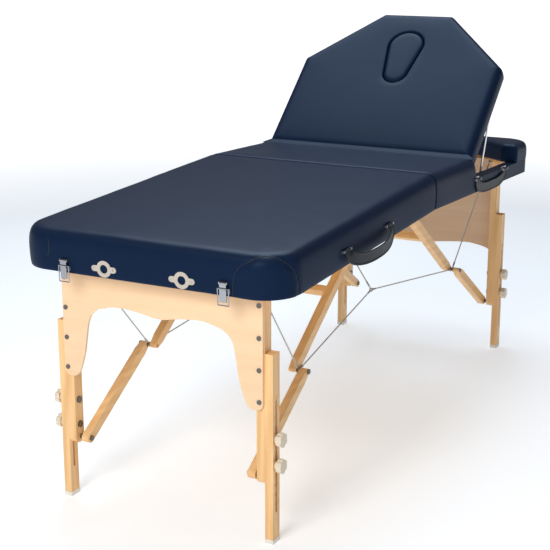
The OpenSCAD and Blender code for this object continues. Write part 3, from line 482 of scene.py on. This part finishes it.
# Thin roll along a path of points
def tube(name, path, radius, material, sides=8):
    rings = []
    for i, p in enumerate(path):
        ahead = (path[min(i + 1, len(path) - 1)] - path[max(i - 1, 0)]).normalized()
        across = ahead.cross(Vector((0.31, 0.17, 0.94))).normalized()
        third = ahead.cross(across)
        share = 0.55 if i in (0, len(path) - 1) else 1
        rings.append([p + radius * share * (math.cos(a) * across + math.sin(a) * third)
                      for a in (math.tau * k / sides for k in range(sides))])
    return loft(name, rings, material)


joint = 7
footSection, footRings = skinRings(
    table["foldGap"], table["halfLength"], [joint, table["cornerRadius"], table["cornerRadius"], joint],
    5.2, None, 28, [60, 40, 60, 44], True)
footSkin = skinPiece("foot_upholstery", -1, footRings)
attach(footSkin, "foot_half")
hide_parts("foot_pad")

middleRings = skinRings(
    table["foldGap"], table["crease"] - table["creaseGap"], [joint] * 4, 5.2, table["deckTop"] + 0.3,
    8, [24, 44, 24, 44], False)[1]
middleSkin = skinPiece("middle_upholstery", 1, middleRings)
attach(middleSkin, "head_half")
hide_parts("middle_pad")


# Point on the foot end's skin, by place round the outline and height
def onFootSkin(place, height):
    row = float(np.interp(height, [h for _, h in footSection[2:]], range(2, len(footSection))))
    i, j = int(row), int(place)
    low, high = (Vector(ring[j]).lerp(Vector(ring[j + 1]), place - j)
                 for ring in (footRings[i], footRings[min(i + 1, len(footRings) - 1)]))
    return halfPoint(-1, *low.lerp(high, row - i))


for word, line in (("patch_seam", patch["seam"]), ("corner_seam", patch["otherSeam"])):
    piece = tube(word, [onFootSkin(*p.tolist()) for p in curve(line, 6)], patch["radius"] * 0.001, seamVinyl)
    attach(piece, "foot_half")
print("main pads done")

# Handles: a flat strap with a roll sewn in at each edge, hanging from two rods
strapFacts = {"start": 353, "span": 267, "height": 45, "out": 7, "edge": 13.6, "roll": 2.5, "flat": 1.1,
              "line": [(0, -1), (0.5, -9), (5, -17), (18, -24.5), (44, -31), (80, -34.4)],
              "bow": {"foot": 27, "head": 0.6}, "lift": {"foot": 2.4, "head": -2.4},
              "eye": 4.7, "eyeLength": 32}


def strapSection():
    edge, roll, flat = strapFacts["edge"], strapFacts["roll"], strapFacts["flat"]
    half = [(edge + roll * math.cos(a), roll * math.sin(a))
            for a in (math.radians(k) for k in range(-150, 151, 30))]
    half += [(u * (edge - roll), flat) for u in (0.9, 0.45)]
    return half + [(0, flat)] + [(-n, o) for n, o in half[::-1]] + [(0, -flat)]


def strapPiece(end, word):
    line = strapFacts["line"]
    line = line + [(strapFacts["span"] / 2, line[-1][1] - 0.4)] + [
        (strapFacts["span"] - s, h) for s, h in line[::-1]]
    path = [p.tolist() for p in curve(line, 5)]
    length = np.cumsum([0] + [math.dist(a, b) for a, b in zip(path, path[1:])]).tolist()
    section = strapSection()
    rings = []
    for i, p in enumerate(path):
        ahead = (Vector(path[min(i + 1, len(path) - 1)]) - Vector(path[max(i - 1, 0)])).normalized()
        out = strapFacts["out"] + strapFacts["lift"][word] + (
            strapFacts["bow"][word] * math.sin(math.pi * length[i] / length[-1]) ** 0.8)
        ring = [halfPoint(end, strapFacts["start"] + p[0] - ahead[1] * n,
                          -table["width"] / 2 - out - o, strapFacts["height"] + p[1] + ahead[0] * n)
                for n, o in section]
        rings.append(ring if end < 0 else ring[::-1])
    piece = loft(word + "_strap", rings, strap)
    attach(piece, word + "_handle")
    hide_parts(word + "_handle")
    for k in (0, 1):
        middle = strapFacts["start"] + k * strapFacts["span"]
        ends = [halfPoint(end, middle + u * strapFacts["eyeLength"] / 2,
                          -table["width"] / 2 - strapFacts["out"], strapFacts["height"])
                for u in np.linspace(-1, 1, 9).tolist()]
        eye = tube(f"{word}_strap_eye_{k}", ends, strapFacts["eye"] * 0.001, piping, 20)
        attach(eye, word + "_handle")


strapPiece(-1, "foot")
strapPiece(1, "head")
print("handles done")

# Cables: wire rope with a pressed sleeve and a round eye at each end
rope = {"radius": 1.9, "sleeve": 2.9, "sleeveLength": 26, "eye": 5.3, "eyeWire": 1.25, "steps": 14,
        "pivot": (858.6, 253, 669.02), "knee": (576, 231.3, 346), "junction": (0, 184, 413),
        "fold": (-5, 18, 663), "braceTop": (62.7, 0, 704.6), "drop": 14,
        "start": 5, "sides": 10, "sleeveSides": 12, "eyeSteps": 24, "wireSides": 10, "keep": 0.01,
        "foldAnchor": (-4, 0, 663)}


def joined(name, pieces):
    bpy.ops.object.select_all(action="DESELECT")
    for piece in pieces:
        piece.select_set(True)
    bpy.context.view_layer.objects.active = pieces[0]
    bpy.ops.object.join()
    pieces[0].name = name
    return pieces[0]


def eyeRing(middle, along, across):
    rings = []
    for k in range(rope["eyeSteps"]):
        a = math.tau * k / rope["eyeSteps"]
        out = math.cos(a) * along + math.sin(a) * along.cross(across).normalized()
        rings.append([middle + 0.001 * ((rope["eye"] + rope["eyeWire"] * math.cos(b)) * out
                                        + rope["eyeWire"] * math.sin(b) * across)
                      for b in (math.tau * m / rope["wireSides"] for m in range(rope["wireSides"]))])
    return loft("eye", rings, steel, True)


def cablePiece(name, end, first, last, body, across=Vector((0, 1, 0))):
    pieces = []
    for side in (1, -1):
        ends = [Vector((end * x, side * y, z)) * 0.001 for x, y, z in (rope[first], rope[last])]
        along = (ends[1] - ends[0]).normalized()
        start, stop = (p + sense * along * rope["start"] * 0.001 for p, sense in zip(ends, (1, -1)))
        path = [start.lerp(stop, k / rope["steps"]) for k in range(rope["steps"] + 1)]
        pieces.append(tube("rope", path, rope["radius"] * 0.001, cableSteel, rope["sides"]))
        for spot, sense in ((start, 1), (stop, -1)):
            sleeve = [spot + along * sense * u * 0.001 * rope["sleeveLength"]
                      for u in (0.1, 0.25, 0.5, 0.85, 1)]
            pieces.append(tube("sleeve", sleeve, rope["sleeve"] * 0.001, steel, rope["sleeveSides"]))
            pieces.append(eyeRing(ends[0] if sense > 0 else ends[1], along, across))
    piece = joined(name, pieces)
    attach(piece, body)
    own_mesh(piece)
    return piece


for word, end in (("foot", -1), ("head", 1)):
    upper = cablePiece("end_cables_" + word, end, "pivot", "knee", word + "_half")
    # The inner cables ride on the upper braces; the braces' line and a normal to it are worked out here but
    # not used
    knee, high = (Vector((end * rope[spot][0], 0, rope[spot][2])) * 0.001 for spot in ("knee", "braceTop"))
    normal = (high - knee).cross(Vector((0, 1, 0))).normalized()
    normal = normal if normal.z > 0 else -normal
    lower = cablePiece("knee_cables_" + word, end, "knee", "junction", "upper_braces_" + word)
    if end < 0:
        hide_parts("end_cables")
        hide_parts("centre_cables")
cablePiece("fold_cables", 1, "junction", "fold", "foot_half",
           Vector((1, 0, 0)))
print("cables done")

# Padded corners at the head end
wedge = {"start": 762, "startY": 326.3, "endY": 132.2,
         "section": [(3, 46.9), (0.6, 46.9), (-0.6, 49), (-1.4, 58), (-1.8, 70), (-1.2, 84), (0.8, 93),
                     (4, 99.5), (9, 104), (15, 106.8), (22, 108.2), (27, 108.6)]}
for side, word in ((1, "left"), (-1, "right")):
    corners = [(wedge["start"], wedge["startY"]), (table["halfLength"], wedge["endY"]),
               (table["halfLength"], table["width"] / 2), (wedge["start"], table["width"] / 2)]
    rings = []
    for inset, height in wedge["section"]:
        ring = [halfPoint(1, p.x, side * p.y, height) for p in
                outline(corners, [8, 12, table["cornerRadius"], 8], inset, 10, [30, 30, 16, 8])]
        rings.append(ring if side > 0 else ring[::-1])
    pad = loft("corner_pad_" + word, rings, vinyl)
    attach(pad, "head_half")
    if side > 0:
        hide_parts("corner_pads")

# Backrest, round the breath hole
backrest = {"width": 704, "topWidth": 246, "side": 381, "length": 598, "corner": 16,
            "holeRadius": 62, "tipRadius": 42, "hole": 450, "span": 120,
            "section": [(16, 46.6), (5, 46.6), (1.5, 47.6), (-0.4, 52), (-1.8, 62), (-2.2, 74), (-1.6, 85),
                        (0.6, 94), (4.2, 100.4), (9, 104.4), (15, 107), (23, 108.2), (34, 108.8)],
            "crown": [0.2, 0.42, 0.64, 0.82, 0.93], "lip": [(6, 109.2), (3, 108.2), (0.9, 105.4), (0, 101)]}


# Distance from the middle of the hole to a convex outline, along each direction
def castOutline(points, middle, directions):
    found = []
    for d in directions:
        best = None
        for i, a in enumerate(points):
            b = points[(i + 1) % len(points)]
            e, w = b - a, a - middle
            cross = d.x * e.y - d.y * e.x
            if abs(cross) < 1e-9:
                continue
            t = (w.x * e.y - w.y * e.x) / cross
            u = (w.x * d.y - w.y * d.x) / cross
            if t > 0 and -1e-6 <= u <= 1 + 1e-6:
                best = t if best is None else max(best, t)
        found.append(middle + d * best)
    return found


def eggPoints(inset, steps):
    r0, r1, span = backrest["holeRadius"], backrest["tipRadius"], backrest["span"]
    turn = math.acos((r1 - r0) / span)
    high = Vector((table["crease"] + backrest["hole"], 0))
    low = high - Vector((span, 0))
    points = []
    for centre, radius, start, sweep in ((high, r0 - inset, -turn, 2 * turn),
                                         (low, r1 - inset, turn, 2 * math.pi - 2 * turn)):
        points += [centre + radius * Vector((math.cos(start + sweep * k / steps),
                                             math.sin(start + sweep * k / steps)))
                   for k in range(steps + 1)]
    return points


half, top = backrest["width"] / 2, backrest["topWidth"] / 2
lower = table["crease"] + table["creaseGap"]
shoulder, tip = table["crease"] + backrest["side"], table["crease"] + backrest["length"]
backCorners = [(lower, -half), (shoulder, -half), (tip, -top), (tip, top), (shoulder, half), (lower, half)]
backRadii = [7] + [backrest["corner"]] * 4 + [7]
middle = Vector((table["crease"] + backrest["hole"] - backrest["span"] / 2, 0))
base = outline(backCorners, backRadii, 0, 6, [22, 14, 14, 14, 22, 36])
directions = [(p - middle).normalized() for p in base]
rings = []
for inset, height in backrest["section"]:
    rings.append([(p.x, p.y, height) for p in
                  castOutline(outline(backCorners, backRadii, inset, 6, [1] * 6), middle, directions)])
outer = [Vector(p[:2]) for p in rings[-1]]
inner = castOutline(eggPoints(-backrest["lip"][0][0], 24), middle, directions)
for share in backrest["crown"]:
    rings.append([(*a.lerp(b, share), 109.2 + 0.5 * math.sin(math.pi * share)) for a, b in zip(outer, inner)])
for inset, height in backrest["lip"] + [(0, table["boardTop"]), (0, 46.6)]:
    rings.append([(p.x, p.y, height) for p in castOutline(eggPoints(-inset, 24), middle, directions)])
backSkin = loft("backrest_upholstery", [
    [raisedPoint(s, y, h + (wave(s, y, skin["wave"] * 0.8) if h > 103 else 0)) for s, y, h in ring]
    for ring in rings], vinyl, True)
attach(backSkin, "backrest")
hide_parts("backrest_pad")

plug = {"section": [(1.6, 47.4), (1.6, 98), (2.2, 103), (4.2, 107), (8, 109.6), (14, 110.8),
                    (26, 111.4)]}
rings = []
for inset, height in plug["section"]:
    rings.append([raisedPoint(p.x, p.y, height) for p in eggPoints(inset, 30)])
plugPiece = loft("breath_plug_pad", rings, vinyl)
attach(plugPiece, "breath_plug")
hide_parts("breath_plug")

# Vinyl that crosses the crease, in a shallow valley over the hinge
valley = {"thick": 0.6, "reach": 17, "low": 106.3, "high": 108.3, "back": 1.78, "steps": 8, "across": 60}
points, faces = [], []
section = [k / valley["steps"] for k in range(-valley["steps"], valley["steps"] + 1)]
widths = np.linspace(-table["width"] / 2 + 12, table["width"] / 2 - 12, valley["across"] + 1)
for lift in (0, -valley["thick"]):
    for u in section:
        h = valley["high"] + (valley["low"] - valley["high"]) * ease(abs(u)) + lift
        along = valley["back"] + (valley["reach"] - valley["back"]) * abs(u)
        for y in widths:
            y *= 1 - max(u, 0) * 0.06
            if u < 0:
                points.append(halfPoint(1, table["crease"] - along, y, h))
            else:
                points.append(raisedPoint(table["crease"] + along, y, h))
size, rows = len(widths), len(section)
for sheet in (0, 1):
    for i in range(rows - 1):
        for j in range(size - 1):
            a = sheet * rows * size + i * size + j
            face = (a, a + size, a + size + 1, a + 1)
            faces.append(face if sheet else face[::-1])
edge = [j for j in range(size)] + [i * size + size - 1 for i in range(1, rows)]
edge += [(rows - 1) * size + j for j in range(size - 2, -1, -1)] + [i * size for i in range(rows - 2, 0, -1)]
for a, b in zip(edge, edge[1:] + edge[:1]):
    faces.append((a, b, b + rows * size, a + rows * size))
valleyPiece = meshPiece("crease_vinyl", points, faces, vinyl)
tuple(halfPoint(1, table["crease"] - valley["reach"] / 2, 0, table["creaseHeight"]))
tuple(raisedPoint(table["crease"] + valley["reach"] / 2, 0, table["creaseHeight"]))
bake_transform(valleyPiece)
print("backrest done")

# Floor, lights and camera
bpy.ops.mesh.primitive_plane_add(size=60, location=(0, 0, -0.0005))
floor = bpy.context.object
floor.name = "floor"
ground = Shader("floor")
spot = ground.place()
away = ground.node("ShaderNodeVectorMath", {"operation": "LENGTH"}, {0: spot}, output=1)
level = ground.spread(away, glow["from"], glow["to"], glow["near"], glow["far"])
shade = ground.node("ShaderNodeCombineColor", None, {0: level, 1: level, 2: level})
ground.set(Base_Color=colours["floor"], Roughness=0.9, Specular_IOR_Level=0.1,
           Emission_Color=shade, Emission_Strength=1.0)
floor.data.materials.append(ground.material)

for name in ("key", "fill", "top"):
    facts = lights[name]
    data = bpy.data.lights.new(name, "AREA")
    data.energy = facts["watts"]
    data.shape = "DISK"
    data.size = facts["size"]
    data.color = facts["colour"]
    lamp = bpy.data.objects.new(name, data)
    bpy.context.scene.collection.objects.link(lamp)
    lamp.location = facts["place"]
    lamp.rotation_mode = "QUATERNION"
    lamp.rotation_quaternion = (Vector((0, 0, 0.6)) - lamp.location).to_track_quat("-Z", "Y")

world = bpy.data.worlds.new("studio")
bpy.context.scene.world = world
world.use_nodes = True
tree = world.node_tree
tree.nodes.clear()
rays = tree.nodes.new("ShaderNodeLightPath")
soft = tree.nodes.new("ShaderNodeBackground")
soft.inputs[0].default_value = (0.93, 0.95, 1.0, 1)
soft.inputs[1].default_value = lights["world"]
white = tree.nodes.new("ShaderNodeBackground")
white.inputs[0].default_value = (1, 1, 1, 1)
white.inputs[1].default_value = 1.0
choice = tree.nodes.new("ShaderNodeMixShader")
out = tree.nodes.new("ShaderNodeOutputWorld")
tree.links.new(rays.outputs["Is Camera Ray"], choice.inputs[0])
tree.links.new(soft.outputs[0], choice.inputs[1])
tree.links.new(white.outputs[0], choice.inputs[2])
tree.links.new(choice.outputs[0], out.inputs[0])

data = bpy.data.cameras.new("camera")
data.sensor_width = camera["sensor"]
data.lens = camera["sensor"] * camera["focalPixels"] / camera["imagePixels"]
data.clip_end = 100
eye = bpy.data.objects.new("camera", data)
bpy.context.scene.collection.objects.link(eye)
eye.location = camera["place"]
yaw, pitch = math.radians(camera["yaw"]), math.radians(camera["pitch"])
look = Vector((math.cos(yaw) * math.cos(pitch), math.sin(yaw) * math.cos(pitch), math.sin(pitch)))
eye.rotation_mode = "QUATERNION"
eye.rotation_quaternion = look.to_track_quat("-Z", "Y")
bpy.context.scene.camera = eye
bpy.context.scene.view_settings.view_transform = "Standard"
print("studio done")
